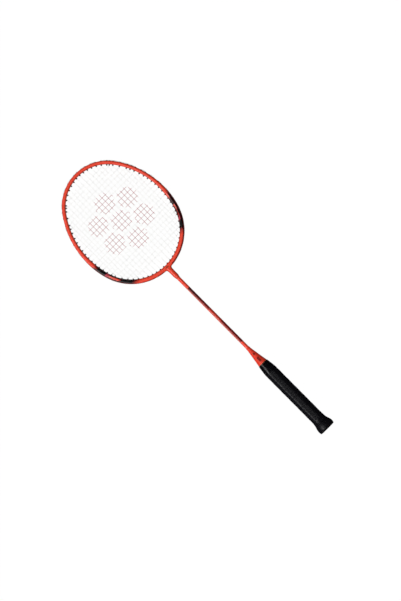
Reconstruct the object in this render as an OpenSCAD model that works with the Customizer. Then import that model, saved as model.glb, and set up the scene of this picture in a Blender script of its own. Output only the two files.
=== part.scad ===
// Badminton racket, strung, lying flat. +X runs from the butt to the head's tip,
// +Y across the head, +Z square to the string bed. The origin is the centre of the butt's end face.

/* [Racket] */
// Length from the butt's end face to the hoop's tip
racket_len = 674; // [664:1:678]

/* [Hoop] */
// Width of the hoop's tube in the plane of the strings
hoop_w = 7.4; // [7.2:0.1:7.8]
// Depth of the hoop's tube square to the strings
hoop_h = 10.6; // [10.2:0.1:11.2]
// Wall of the hoop's tube
hoop_wall = 1.0; // [0.9:0.1:1.1]
// Centreline radius of the hoop at the crown
crown_r = 82.8; // [82.6:0.1:83.2]
// Depth of the groove round the outside of the hoop
groove_d = 1.2; // [1.1:0.05:1.3]
// Width of the groove round the outside of the hoop
groove_w = 3.6; // [3.5:0.1:4]

/* [Strings] */
// Diameter of the string
string_d = 0.7; // [0.62:0.02:0.72]
// Pitch of the middle main strings
main_pitch = 8.4; // [8.3:0.1:8.5]
// Pitch of the cross strings below the crown
cross_pitch = 8.84; // [8.8:0.02:8.88]
// Pitch of the four cross strings at the crown
crown_pitch = 7.9; // [7.7:0.1:8]

/* [Shaft] */
// Outside diameter of the shaft's tube
shaft_d = 7; // [6.8:0.1:7.2]
// Wall of the shaft's tube
shaft_wall = 1; // [0.8:0.1:1.4]
// Depth of the shaft's bore in the handle core
shaft_seat = 100; // [80:5:105]
// Length of the cone between the grip and the shaft
cone_len = 40; // [38:1:42]

/* [Grip] */
// Length of the handle up to the cone
handle_len = 172; // [170:1:174]
// Width of the wrapped grip across its side flats
grip_w = 26.5; // [26:0.1:27]
// Depth of the wrapped grip across its top and bottom flats
grip_h = 24.5; // [24:0.1:25]
// Thickness of the grip's wrap
wrap_t = 1.6; // [1.4:0.1:1.8]
// Thickness of the finishing tape
tape_t = 0.35; // [0.3:0.05:0.4]
// Largest radius of the flare at the butt
flare_r = 17.15; // [17:0.05:17.4]

/* [Hidden] */
$fn = 96;
gap = 0.05;          // clearance between two pieces that are fitted together
over = 1;            // how far a cutter runs past the surface that it opens

// The hoop's centreline is three tangent arcs on each side of the X axis: crown, side, throat.
// They meet where a 3-4-5 and a 7-24-25 triangle point, which closes the loop with round numbers.
side_r = crown_r + 78;
throat_r = crown_r + 13;
side_start = atan2(4, 3);
throat_start = atan2(24, -7);
tip_x = racket_len - hoop_w / 2;
crown_x = tip_x - crown_r;
side_middle = 80;
side_x = crown_x - 78 * 3 / 5;
side_y = -78 * 4 / 5;
throat_x = side_x - 65 * 7 / 25;
hoop_base_x = throat_x - throat_r;

hoop_round = 5.8;                  // rounds the corners of the hoop's tube
mouth = hoop_w / 2 + 2.2;          // where a grommet ends inside the hoop
head_top = hoop_w / 2 + 0.2;       // where a grommet ends outside the hoop
run_out = head_top + string_d / 2 + 0.01;  // centre of a string in the groove
barrel_d = 2.8;
grommet_head_d = 3.2;
bore_d = 1.9;
mains = 11;                        // main strings on each side
crosses = 23;
lift = 0.4;                        // height of the mains in their holes, and minus it for crosses
weave = string_d / 2 + 0.01;       // rise and fall of each string where two of them cross
exit_y = 8.6;                      // where the innermost mains leave the T joint

joint_half = 10.5;                 // half the length of the hoop that the T joint replaces
joint_edge = 180 - asin(joint_half / throat_r);
stub_end = joint_edge - 11;        // how far its arms reach into the tube
sleeve_r = 4.75;
sleeve_tip_r = 3.95;
sleeve_x = hoop_base_x - 29;
shaft_top = hoop_base_x - 5;
sleeve_fillet = 2.4;

core_top = handle_len + 12;        // end of the spigot under the cone
spigot_r = 6.5;
cone_base_r = 9.75;
cone_tip_r = 3.85;
corner_r = 13.55;                  // the wrapped grip's rounded corners
neck_x = 146;                      // where the handle begins to narrow
flare_x = 27;
flare_top_x = 4;
flare_base_r = 12.9;
cap_t = 2.5;
cap_r = 16.6;
cap_edge = 1.4;
cavity_r = 7;
cavity_end = 60;
plug_end = 14;
badge_r = 12;
badge_t = 0.4;

// ---- the hoop's line ----

function arc_at(a) = a < side_start ? [crown_x, 0, crown_r]
    : a < throat_start ? [side_x, side_y, side_r] : [throat_x, 0, throat_r];
function hoop_pt(a, out) = let (c = arc_at(a))
    [c[0] + (c[2] + out) * cos(a), c[1] + (c[2] + out) * sin(a)];

// ---- where the strings run ----

function main_y(i) = main_pitch * (i - 0.5) - (i > 4 ? 0.16 * pow(i - 4.5, 2) : 0);
function cross_x(j) = racket_len - 50.5 + (j < 4 ? crown_pitch * (4 - j) : -cross_pitch * (j - 4));

function angle_y(y) = let (a = asin(y / (crown_r - mouth)))
    a < side_start ? a : asin((y - side_y) / (side_r - mouth));
function top_hole(i) = angle_y(main_y(i));
function low_hole(i) = 180 - asin(main_y(i) / (throat_r - mouth));
function angle_x(x) = let (a = acos((x - crown_x) / (crown_r - mouth)),
        b = acos((x - side_x) / (side_r - mouth)))
    a < side_start ? a : b < throat_start ? b : acos((x - throat_x) / (throat_r - mouth));

// Nine cross strings on each side share a hole with a main string.
function cross_hole(j) = j == 1 ? top_hole(6) : j == 7 ? top_hole(11)
    : j > 2 && j < 6 ? top_hole(j + 5) : j > 19 ? low_hole(31 - j) : angle_x(cross_x(j));
function own_hole(j) = j == 2 || j == 6 || (j > 7 && j < 20);
holes = concat([for (i = [1:mains]) top_hole(i)],
    [for (j = [1:crosses]) if (own_hole(j)) cross_hole(j)],
    [for (i = [2:mains]) low_hole(i)]);

function meets(i, j) = main_y(i) < hoop_pt(cross_hole(j), -mouth)[1] - 1.5
    && hoop_pt(low_hole(i), -mouth)[0] < cross_x(j) - 2;
function at(p, side, z) = [p[0], side * p[1], z];

// From inside the hoop, out through the hole at angle a: mouth, bore, and over the head's rim.
function way_out(a, toward, side, z) = let (turn = sign(toward - a) * 0.45) [
    at(hoop_pt(a, -mouth - 0.3), side, z), at(hoop_pt(a, head_top - 0.35), side, z),
    at(hoop_pt(a + turn, run_out), side, z)];
function way_in(a, from, side, z) = reversed(way_out(a, from, side, z));
function reversed(v) = [for (k = [len(v) - 1:-1:0]) v[k]];
function groove(a, b, side, z) = [for (k = [1:2]) at(hoop_pt(a + (b - a) * k / 3, run_out), side, z)];

// The two innermost mains slant past the shaft.
low_mouth = hoop_pt(low_hole(1), -mouth);
low_exit = [throat_x - sqrt(pow(throat_r + head_top, 2) - pow(exit_y, 2)), exit_y];
low_run = low_exit - low_mouth;
function slant_out(side) = [at(low_mouth, side, lift), at(low_mouth + low_run * 0.97, side, lift),
    at(low_exit + [-0.36, 0.5], side, lift)];

function parity(n) = n % 2 == 0 ? 1 : -1;
function main_run(i, side) = [for (j = [1:crosses]) if (meets(i, j))
    [cross_x(j), side * main_y(i), weave * parity(i + j + (side < 0 ? 1 : 0))]];
function low_way(i, side, toward) = i == 1 ? slant_out(side) : way_out(low_hole(i), toward, side, lift);

// Two mains at a time: down one, round the throat, and up the next, from the crown outward.
function main_pair(i, side) = concat(
    i == 1 ? way_in(top_hole(1), 0, side, lift) : way_in(top_hole(i), top_hole(i - 1), side, lift),
    main_run(i, side), low_way(i, side, 0),
    i == 1 ? [] : groove(low_hole(i), low_hole(i + 1), side, lift),
    way_in(low_hole(i + 1), 180, side, lift),
    reversed(main_run(i + 1, side)), way_out(top_hole(i + 1), 90, side, lift),
    groove(top_hole(i + 1), top_hole(i + 2), side, lift));

// A hitch of two turns round another string that runs along direction d through p.
function hitch(p, d, r) = let (u = d / norm(d), v = [-u[1], u[0], 0])
    [for (k = [0:11]) p + u * 0.8 * k / 6 + r * (cos(60 * k) * [0, 0, 1] + sin(60 * k) * v)];
function main_tail(side) = let (a = cross_hole(19), p = hoop_pt(a, -mouth - 1.2)) concat(
    way_in(top_hole(mains), 0, side, lift), main_run(mains, side),
    way_out(low_hole(mains), 0, side, lift), groove(low_hole(mains), a, side, lift),
    way_in(a, 180, side, lift),
    hitch([cross_x(19), side * p[1], -lift], [0, -side, 0], 0.8));
function main_half(side) = concat([for (i = [1:2:mains - 2]) each main_pair(i, side)],
    main_tail(side));
function main_path() = concat(reversed(main_half(-1)), main_half(1));

// Odd cross strings run from left (-Y) to right, even ones back.
function cross_mid(j, side) = [for (i = [mains:-1:1]) if (meets(i, j))
    [cross_x(j), side * main_y(i), -weave * parity(i + j + (side < 0 ? 1 : 0))]];
function cross_run(j) = let (s = j % 2 == 0 ? 1 : -1, a = cross_hole(j)) concat(
    way_in(a, cross_hole(max(j - 1, 1)) - 0.01, s, -lift),
    cross_mid(j, s), reversed(cross_mid(j, -s)),
    way_out(a, cross_hole(min(j + 1, crosses)) + 0.01, -s, -lift),
    j < crosses ? groove(a, cross_hole(j + 1), -s, -lift) : []);
cross_head = let (a = cross_hole(2), p = hoop_pt(a, -mouth - 1.2)) concat(
    reversed(hitch([cross_x(2), -p[1], -lift], [0, 1, 0], 0.8)),
    way_out(a, 0, -1, lift),
    [at(hoop_pt(a - 2.4, run_out), -1, -lift), at(hoop_pt(cross_hole(1) + 3, run_out), -1, -lift)]);
cross_tail = let (a = low_hole(7), p = hoop_pt(a, -mouth - 1.2)) concat(
    groove(cross_hole(crosses), a, 1, -lift), way_in(a, 0, 1, -lift),
    hitch([p[0], main_y(7), lift], [1, 0, 0], -0.8));
function cross_path() = concat(cross_head, [for (j = [1:crosses]) each cross_run(j)], cross_tail);

// ---- helpers ----

// A round solid about the X axis from [radius, x] points.
module revolve(points) {
    rotate([0, 90, 0]) rotate_extrude() polygon(points);
}

module rod(x0, x1, r) {
    translate([x0, 0, 0]) rotate([0, 90, 0]) cylinder(h = x1 - x0, r = r);
}

// A string of round section that follows a path of points.
module cord(path) {
    sides = 6;
    last = len(path) - 1;
    rings = [for (k = [0:last])
        let (d = path[min(k + 1, last)] - path[max(k - 1, 0)], u = d / norm(d),
            v = cross(u, [0, 0, 1]), across = v / norm(v), up = cross(across, u))
        for (n = [0:sides - 1]) path[k]
            + string_d / 2 * (cos(60 * n) * across + sin(60 * n) * up)];
    walls = [for (k = [0:last - 1], n = [0:sides - 1]) let (m = (n + 1) % sides)
        [k * sides + n, k * sides + m, (k + 1) * sides + m, (k + 1) * sides + n]];
    polyhedron(rings, concat(walls, [[for (n = [sides - 1:-1:0]) n]],
        [[for (n = [0:sides - 1]) last * sides + n]]), convexity = 10);
}

// The hoop's section: x is outward from the middle of the hoop, y is square to the strings.
module tube_outside() {
    difference() {
        intersection() {
            square([hoop_w, hoop_h], center = true);
            circle(hoop_round);
        }
        translate([hoop_w / 2 - groove_d, -groove_w / 2]) square([groove_d + over, groove_w]);
    }
}

module tube_inside(shrink) {
    w = hoop_w - 2 * hoop_wall - groove_d;
    translate([-groove_d / 2, 0]) intersection() {
        square([w - 2 * shrink, hoop_h - 2 * hoop_wall - 2 * shrink], center = true);
        circle(hoop_round - hoop_wall - 0.3 - shrink);
    }
}

module sweep(cx, cy, r, a0, a1) {
    translate([cx, cy, 0]) rotate([0, 0, a0]) rotate_extrude(angle = a1 - a0, $fn = 240)
        translate([r, 0]) children();
}

module both_sides() {
    children();
    mirror([0, 1, 0]) children();
}

// Puts a piece, built along +X from the hoop's middle outward, at the hole at angle a.
module at_hole(a, side) {
    p = hoop_pt(a, 0);
    translate([p[0], side * p[1], 0]) rotate([0, 0, side * a]) children();
}

module at_slant(side) {
    translate([low_mouth[0], side * low_mouth[1], 0])
        rotate([0, 0, atan2(side * low_run[1], low_run[0])]) children();
}

module string_holes(side) {
    for (a = holes) at_hole(a, side) rod(-hoop_w, hoop_w, barrel_d / 2 + gap);
    at_slant(side) rod(-over, norm(low_run) + over, barrel_d / 2 + gap);
}

module grommet(x0, x1) {
    difference() {
        union() {
            rod(x0, x1 - 0.5, barrel_d / 2);
            rod(x1 - 1.35, x1, grommet_head_d / 2);
        }
        rod(x0 - over, x1 + over, bore_d / 2);
    }
}

module grommets(from, to, sides) {
    for (side = sides, a = holes)
        if (a >= from && a < to) at_hole(a, side) grommet(-mouth, head_top);
}

module octagon(grow) {
    intersection() {
        square([grip_h + 2 * grow, grip_w + 2 * grow], center = true);
        rotate(45) square((grip_w + grip_h) / 2 + 2 * grow, center = true);
    }
}

// Radius of the flare: two equal arcs that meet halfway.
flare_bend = (pow(flare_x - flare_top_x, 2) + pow(flare_r - flare_base_r, 2))
    / (4 * (flare_r - flare_base_r));
function flare_at(x) = x < flare_top_x ? flare_r
    : x < (flare_x + flare_top_x) / 2
        ? flare_r - flare_bend + sqrt(pow(flare_bend, 2) - pow(x - flare_top_x, 2))
        : flare_base_r + flare_bend - sqrt(pow(flare_bend, 2) - pow(flare_x - x, 2));

// The handle's outer shape, grown or shrunk: an eight-sided bar, its neck, and its flare.
module handle_shape(grow, x0, x1, neck_r) {
    intersection() {
        translate([x0, 0, 0]) rotate([0, 90, 0]) linear_extrude(x1 - x0) octagon(grow);
        revolve([[0, x0 - over], [corner_r + grow, x0 - over], [corner_r + grow, neck_x],
            [neck_r, handle_len], [neck_r, handle_len + over], [0, handle_len + over]]);
    }
    if (x0 < flare_top_x) revolve(concat([[0, x0], [flare_r + grow, x0]],
        [for (k = [0:10]) let (x = flare_top_x + (flare_x - flare_top_x) * k / 10)
            [flare_at(x) + grow, x]], [[0, flare_x]]));
}

// ---- the pieces ----

module tube_wall() {
    difference() {
        tube_outside();
        tube_inside(0);
    }
}

module head_frame() {
    color("OrangeRed") difference() {
        both_sides() {
            sweep(crown_x, 0, crown_r, side_start, -6) tube_wall();
            sweep(side_x, side_y, side_r, side_start, side_middle + 2) tube_wall();
            sweep(side_x, side_y, side_r, throat_start, side_middle - 2) tube_wall();
            sweep(throat_x, 0, throat_r, throat_start, joint_edge) tube_wall();
        }
        for (side = [-1, 1]) string_holes(side);
    }
}

module t_joint() {
    color("Tomato") difference() {
        union() {
            sweep(throat_x, 0, throat_r, joint_edge + 0.03, 360 - joint_edge - 0.03) tube_outside();
            both_sides() {
                sweep(throat_x, 0, throat_r, stub_end, joint_edge + 1) tube_inside(gap);
                translate([hoop_base_x - hoop_w / 2 + 0.6, 0, -4]) linear_extrude(8) difference() {
                    translate([-3, -1]) square([3, sleeve_r + sleeve_fillet + 1]);
                    translate([-3, sleeve_r + sleeve_fillet]) circle(sleeve_fillet);
                }
            }
            revolve([[0, sleeve_x], [sleeve_tip_r, sleeve_x], [sleeve_r, sleeve_x + 6],
                [sleeve_r, hoop_base_x], [0, hoop_base_x]]);
        }
        rod(sleeve_x - over, shaft_top + 0.2, shaft_d / 2 + gap);
        for (side = [-1, 1]) string_holes(side);
    }
}

module shaft() {
    color("Firebrick") difference() {
        rod(core_top - shaft_seat, shaft_top, shaft_d / 2);
        rod(core_top - shaft_seat - over, shaft_top + over, shaft_d / 2 - shaft_wall);
    }
}

module cone_cap() {
    color("Orange") difference() {
        revolve([[0, handle_len + gap], [cone_base_r, handle_len + gap],
            [cone_tip_r + 0.35, handle_len + cone_len - 1.6], [cone_tip_r, handle_len + cone_len],
            [0, handle_len + cone_len]]);
        rod(handle_len - over, core_top + 0.2, spigot_r + gap);
        rod(core_top, handle_len + cone_len + over, shaft_d / 2 + gap);
    }
}

module handle_core() {
    color("BurlyWood") difference() {
        union() {
            handle_shape(-wrap_t - gap, cap_t, handle_len, cone_base_r);
            rod(handle_len - over, core_top, spigot_r);
        }
        rod(core_top - shaft_seat, core_top + over, shaft_d / 2 + gap);
        rod(cap_t - over, cavity_end, cavity_r);
    }
}

module grip_wrap() {
    color("DimGray") difference() {
        handle_shape(0, cap_t + gap, handle_len - 1, cone_base_r + 0.4);
        handle_shape(-wrap_t, cap_t - over, handle_len + over, cone_base_r + 0.05);
    }
}

module grip_tape() {
    color("Black") difference() {
        handle_shape(tape_t, 149, handle_len - 0.4, cone_base_r + 0.4 + tape_t);
        handle_shape(gap, 149 - over, handle_len + over, cone_base_r + 0.4 + gap);
    }
}

module butt_cap() {
    color("SlateGray") difference() {
        union() {
            revolve(concat([[0, 0], [cap_r - cap_edge, 0]],
                [for (k = [1:5]) [cap_r - cap_edge + cap_edge * sin(18 * k),
                    cap_edge - cap_edge * cos(18 * k)]],
                [[cap_r, cap_t - gap], [0, cap_t - gap]]));
            rod(cap_t - over, plug_end, cavity_r - gap);
        }
        rod(-over, badge_t, badge_r + gap);
        rod(cap_t, plug_end + over, cavity_r - 2);
    }
}

module butt_badge() {
    color("Silver") rod(0, badge_t - 0.02, badge_r);
}

module main_string() {
    color("White") cord(main_path());
}

module cross_string() {
    color("WhiteSmoke") cord(cross_path());
}

crown_end = 48;
upper_end = 70;
side_end = 114;
lower_end = 140;

module crown_grommets() {
    color("Black") grommets(0, crown_end, [-1, 1]);
}

module upper_grommets_left() {
    color("Black") grommets(crown_end, upper_end, [1]);
}

module upper_grommets_right() {
    color("Black") grommets(crown_end, upper_end, [-1]);
}

module side_grommets_left() {
    color("Black") grommets(upper_end, side_end, [1]);
}

module side_grommets_right() {
    color("Black") grommets(upper_end, side_end, [-1]);
}

module lower_grommets_left() {
    color("Black") grommets(side_end, lower_end, [1]);
}

module lower_grommets_right() {
    color("Black") grommets(side_end, lower_end, [-1]);
}

module throat_grommets() {
    color("Black") {
        grommets(lower_end, 180, [-1, 1]);
        for (side = [-1, 1]) at_slant(side) grommet(0, norm(low_run));
    }
}

head_frame();
t_joint();
shaft();
cone_cap();
handle_core();
grip_wrap();
grip_tape();
butt_cap();
butt_badge();
main_string();
cross_string();
crown_grommets();
upper_grommets_left();
upper_grommets_right();
side_grommets_left();
side_grommets_right();
lower_grommets_left();
lower_grommets_right();
throat_grommets();
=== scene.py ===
import math

import bpy
from mathutils import Matrix, Vector


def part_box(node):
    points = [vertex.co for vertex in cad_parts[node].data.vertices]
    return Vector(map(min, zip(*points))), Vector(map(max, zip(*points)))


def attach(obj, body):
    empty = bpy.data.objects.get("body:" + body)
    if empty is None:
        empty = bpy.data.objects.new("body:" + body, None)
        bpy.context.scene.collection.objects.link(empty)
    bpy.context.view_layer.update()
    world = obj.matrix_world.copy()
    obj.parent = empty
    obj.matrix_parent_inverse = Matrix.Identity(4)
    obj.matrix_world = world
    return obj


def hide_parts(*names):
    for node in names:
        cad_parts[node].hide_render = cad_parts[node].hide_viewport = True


# A strung badminton racket on a pale floor. +X runs from the butt to the tip of the head,
# +Y across the head, +Z square to the strings.

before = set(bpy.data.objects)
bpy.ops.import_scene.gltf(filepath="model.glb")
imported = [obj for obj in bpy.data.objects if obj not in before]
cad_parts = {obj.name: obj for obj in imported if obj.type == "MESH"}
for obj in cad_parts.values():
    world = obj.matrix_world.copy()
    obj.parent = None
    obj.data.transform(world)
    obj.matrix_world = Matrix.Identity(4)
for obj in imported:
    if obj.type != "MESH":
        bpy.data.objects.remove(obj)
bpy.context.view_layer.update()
mm = 0.001
print("frame loaded")


view = dict(
    aim=Vector((337 * mm, 0, 0)),       # the middle of the racket
    pastAim=(-0.78 * mm, 0.41 * mm),    # right and up from the aim to the middle of the view
    distance=7.0,
    height=1.1265,                      # what the view takes in at the aim
    turn=-134.97, leanX=-4.56, leanY=-4.63,
)


def makeCamera():
    camera = bpy.data.objects.new("camera", bpy.data.cameras.new("camera"))
    bpy.context.scene.collection.objects.link(camera)
    back = Vector((math.sin(math.radians(view["leanX"])), math.sin(math.radians(view["leanY"])), 0))
    back.z = math.sqrt(1 - back.length_squared)
    turn = math.radians(view["turn"])
    right = Vector((math.cos(turn), math.sin(turn), 0))
    up = back.cross(right).normalized()
    right = up.cross(back)
    centre = view["aim"] + right * view["pastAim"][0] + up * view["pastAim"][1]
    place = Matrix((right, up, back)).transposed().to_4x4()
    place.translation = centre + back * view["distance"]
    camera.matrix_world = place
    camera.data.sensor_width = 36
    camera.data.lens = camera.data.sensor_width * view["distance"] / view["height"]
    camera.data.clip_end = 50
    bpy.context.scene.camera = camera


makeCamera()
print("camera placed")


def deselectAll():
    bpy.ops.object.select_all(action="DESELECT")


def only(piece):
    deselectAll()
    piece.select_set(True)
    bpy.context.view_layer.objects.active = piece


def edit(piece):
    only(piece)
    bpy.ops.object.mode_set(mode="EDIT")
    bpy.ops.mesh.select_mode(type="VERT")
    bpy.ops.mesh.select_all(action="SELECT")


def leaveEdit():
    bpy.ops.object.mode_set(mode="OBJECT")


def ringOf(name, points):
    # a closed ring of corners, one for each point
    deselectAll()
    bpy.ops.mesh.primitive_circle_add(vertices=len(points), radius=5 * mm, fill_type="NOTHING")
    piece = bpy.context.object
    piece.name = name
    for vertex, point in zip(piece.data.vertices, points):
        vertex.co = point
    return piece


def closeUp(piece, fill=False):
    # merges what a spin leaves double and turns every face outward
    edit(piece)
    bpy.ops.mesh.remove_doubles(threshold=0.002 * mm)
    bpy.ops.mesh.dissolve_degenerate(threshold=0.001 * mm)
    if fill:
        bpy.ops.mesh.select_all(action="SELECT")
        bpy.ops.mesh.fill_holes(sides=0)
    bpy.ops.mesh.select_all(action="SELECT")
    bpy.ops.mesh.normals_make_consistent(inside=False)
    leaveEdit()


def smooth(piece, degrees=40):
    only(piece)
    bpy.ops.object.shade_smooth_by_angle(angle=math.radians(degrees))


def lathe(name, profile, steps=64):
    # turns a closed profile of (x, radius) about the X axis
    piece = ringOf(name, [(x, 0, radius) for x, radius in profile])
    edit(piece)
    bpy.ops.mesh.spin(steps=steps, angle=2 * math.pi, center=(0, 0, 0), axis=(1, 0, 0))
    leaveEdit()
    closeUp(piece)
    return piece


def rolled(name, lengthSteps, sides, place):
    # a grid rolled into a tube: place(u, angle) says where each corner goes
    deselectAll()
    bpy.ops.mesh.primitive_grid_add(x_subdivisions=lengthSteps, y_subdivisions=sides, size=1)
    piece = bpy.context.object
    piece.name = name
    for vertex in piece.data.vertices:
        vertex.co = place(vertex.co.x + 0.5, (vertex.co.y + 0.5) * 2 * math.pi)
    closeUp(piece)
    return piece


def applyModifier(piece, kind, **settings):
    only(piece)
    modifier = piece.modifiers.new(kind.lower(), kind)
    for key, value in settings.items():
        setattr(modifier, key, value)
    bpy.ops.object.modifier_apply(modifier=modifier.name)


def joinUp(name, parts):
    deselectAll()
    for part in parts:
        part.select_set(True)
    bpy.context.view_layer.objects.active = parts[0]
    bpy.ops.object.join()
    piece = bpy.context.object
    piece.name = name
    return piece


def finishPiece(piece, material, slot, *nodes):
    piece.data.materials.clear()
    piece.data.materials.append(material)
    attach(piece, "root")
    if nodes:
        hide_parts(*nodes)


def direction(angle):
    return Vector((math.cos(angle), math.sin(angle)))


def ease(value, low, high):
    share = min(1, max(0, (value - low) / (high - low)))
    return share * share * (3 - 2 * share)


def put(tree, socket, value):
    if isinstance(value, bpy.types.NodeSocket):
        tree.links.new(value, socket)
    elif value is not None:
        socket.default_value = value


def calc(tree, operation, a, b=None):
    node = tree.nodes.new("ShaderNodeMath")
    node.operation = operation
    for socket, value in zip(node.inputs, (a, b)):
        put(tree, socket, value)
    return node.outputs[0]


def times(tree, a, b):
    return calc(tree, "MULTIPLY", a, b)


def plus(tree, a, b):
    return calc(tree, "ADD", a, b)


def minus(tree, a, b):
    return calc(tree, "SUBTRACT", a, b)


def absolute(tree, a):
    return calc(tree, "ABSOLUTE", a)


def larger(tree, a, b):
    return b if a is None else calc(tree, "MAXIMUM", a, b)


def span(tree, value, low, high, start=0.0, end=1.0, kind="SMOOTHSTEP"):
    # carries low..high over to start..end, held at both ends
    node = tree.nodes.new("ShaderNodeMapRange")
    node.interpolation_type = kind
    for socket, number in zip(node.inputs, (value, low, high, start, end)):
        put(tree, socket, number)
    return node.outputs[0]


def between(tree, value, low, high, soft):
    # one from low to high, nought outside, with soft ends
    return times(tree, span(tree, value, low, low + soft), span(tree, value, high, high - soft))


def blend(tree, share, a, b):
    node = tree.nodes.new("ShaderNodeMix")
    node.data_type = "RGBA"
    for name, value in (("Factor_Float", share), ("A_Color", a), ("B_Color", b)):
        put(tree, next(s for s in node.inputs if s.identifier == name), value)
    return next(s for s in node.outputs if s.identifier == "Result_Color")


def noise(tree, where, scale, detail=2.0, rough=0.5):
    node = tree.nodes.new("ShaderNodeTexNoise")
    for name, value in (("Vector", where), ("Scale", scale), ("Detail", detail), ("Roughness", rough)):
        put(tree, node.inputs[name], value)
    return node.outputs[0]


def cells(tree, where, scale):
    node = tree.nodes.new("ShaderNodeTexVoronoi")
    put(tree, node.inputs["Vector"], where)
    put(tree, node.inputs["Scale"], scale)
    return node.outputs[0]


def objectPlace(tree):
    place = tree.nodes.new("ShaderNodeTexCoord").outputs["Object"]
    split = tree.nodes.new("ShaderNodeSeparateXYZ")
    tree.links.new(place, split.inputs[0])
    return place, split.outputs[0], split.outputs[1], split.outputs[2]


def held(tree, name):
    node = tree.nodes.new("ShaderNodeAttribute")
    node.attribute_name = name
    return node.outputs["Fac"]


def ramp(tree, value, stops):
    node = tree.nodes.new("ShaderNodeValToRGB")
    put(tree, node.inputs[0], value)
    marks = node.color_ramp.elements
    while len(marks) < len(stops):
        marks.new(1.0)
    for mark, (place, colour) in zip(marks, stops):
        mark.position = place
        mark.color = colour
    return node.outputs[0]


def newGroup(name, inputs, outputs):
    tree = bpy.data.node_groups.new(name, "ShaderNodeTree")
    for label, kind in inputs:
        tree.interface.new_socket(label, in_out="INPUT", socket_type=kind)
    for label, kind in outputs:
        tree.interface.new_socket(label, in_out="OUTPUT", socket_type=kind)
    return tree, tree.nodes.new("NodeGroupInput"), tree.nodes.new("NodeGroupOutput")


def useGroup(tree, group, **values):
    node = tree.nodes.new("ShaderNodeGroup")
    node.node_tree = group
    for name, value in values.items():
        put(tree, node.inputs[name], value)
    return node


def newMaterial(name, **shaderValues):
    material = bpy.data.materials.new(name)
    material.use_nodes = True
    tree = material.node_tree
    shader = tree.nodes["Principled BSDF"]
    for key, value in shaderValues.items():
        shader.inputs[key.replace("_", " ")].default_value = value
    return material, tree, shader


def addBump(tree, shader, height, distance):
    bump = tree.nodes.new("ShaderNodeBump")
    bump.inputs["Strength"].default_value = 1.0
    bump.inputs["Distance"].default_value = distance
    tree.links.new(height, bump.inputs["Height"])
    tree.links.new(bump.outputs[0], shader.inputs["Normal"])


def rgb(red, green, blue):
    # from the 0..255 scale of a paint card to linear light
    return tuple(((c / 255 + 0.055) / 1.055) ** 2.4 if c > 10 else c / 255 / 12.92
                 for c in (red, green, blue)) + (1.0,)


colours = dict(
    orange=rgb(230, 62, 34), deep=rgb(150, 22, 10), salmon=rgb(228, 98, 84), black=rgb(6, 4, 5),
    maroon=rgb(62, 5, 6), crimson=rgb(176, 48, 66), fleck=rgb(150, 140, 128), wood=rgb(196, 160, 116),
    grip=rgb(12, 11, 16), tape=rgb(5, 5, 8), string=rgb(252, 252, 249), ink=rgb(168, 6, 14),
)


def paintGroup():
    # a sprayed finish: slight cloudiness, fine flake, orange peel, and scuffs where it has been touched
    tree, given, made = newGroup(
        "sprayedPaint",
        [("Colour", "NodeSocketColor"), ("Gloss", "NodeSocketFloat"), ("Wear", "NodeSocketFloat")],
        [("Colour", "NodeSocketColor"), ("Roughness", "NodeSocketFloat"), ("Height", "NodeSocketFloat")])
    place, _, _, _ = objectPlace(tree)
    cloud = noise(tree, place, 38, 3)
    flake = cells(tree, place, 5200)
    peel = noise(tree, place, 900, 1)
    scuff = span(tree, noise(tree, place, 210, 6, 0.72), 0.63, 0.70)
    scuff = times(tree, scuff, given.outputs["Wear"])
    shade = span(tree, cloud, 0.3, 0.7, 0.93, 1.05, "LINEAR")
    shade = times(tree, shade, span(tree, flake, 0.1, 0.8, 1.05, 0.96, "LINEAR"))
    tint = tree.nodes.new("ShaderNodeVectorMath")
    tint.operation = "SCALE"
    tree.links.new(given.outputs["Colour"], tint.inputs[0])
    tree.links.new(shade, tint.inputs["Scale"])
    worn = blend(tree, times(tree, scuff, 0.35), tint.outputs[0], rgb(226, 150, 128))
    tree.links.new(worn, made.inputs["Colour"])
    rough = plus(tree, given.outputs["Gloss"], times(tree, scuff, 0.25))
    tree.links.new(plus(tree, rough, span(tree, cloud, 0.3, 0.7, -0.03, 0.04, "LINEAR")),
                   made.inputs["Roughness"])
    tree.links.new(minus(tree, peel, times(tree, scuff, 0.4)), made.inputs["Height"])
    return tree


def grainGroup():
    # the fine leathery grain of moulded or embossed black parts
    tree, given, made = newGroup(
        "fineGrain",
        [("Colour", "NodeSocketColor"), ("Rub", "NodeSocketColor"), ("Scale", "NodeSocketFloat"),
         ("Roughness", "NodeSocketFloat")],
        [("Colour", "NodeSocketColor"), ("Roughness", "NodeSocketFloat"), ("Height", "NodeSocketFloat")])
    place, _, _, _ = objectPlace(tree)
    pebble = cells(tree, place, given.outputs["Scale"])
    speck = noise(tree, place, given.outputs["Scale"])
    dust = span(tree, noise(tree, place, 160, 5, 0.7), 0.5, 0.72)
    rub = times(tree, dust, span(tree, speck, 0.45, 0.7))
    tree.links.new(blend(tree, times(tree, rub, 0.55), given.outputs["Colour"],
                         given.outputs["Rub"]), made.inputs["Colour"])
    tree.links.new(plus(tree, given.outputs["Roughness"], times(tree, rub, 0.12)),
                   made.inputs["Roughness"])
    tree.links.new(plus(tree, pebble, times(tree, speck, 0.5)), made.inputs["Height"])
    return tree


sprayedPaint = paintGroup()
fineGrain = grainGroup()


def layOn(tree, shader, finish, depth, extra):
    tree.links.new(finish.outputs["Colour"], shader.inputs["Base Color"])
    tree.links.new(finish.outputs["Roughness"], shader.inputs["Roughness"])
    height = finish.outputs["Height"]
    addBump(tree, shader, height if extra is None else plus(tree, height, extra), depth)


def paintOver(tree, shader, colour, gloss, wear, peel=0.02 * mm, extra=None):
    coat = useGroup(tree, sprayedPaint, Colour=colour, Gloss=gloss, Wear=wear)
    layOn(tree, shader, coat, peel, extra)


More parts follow.
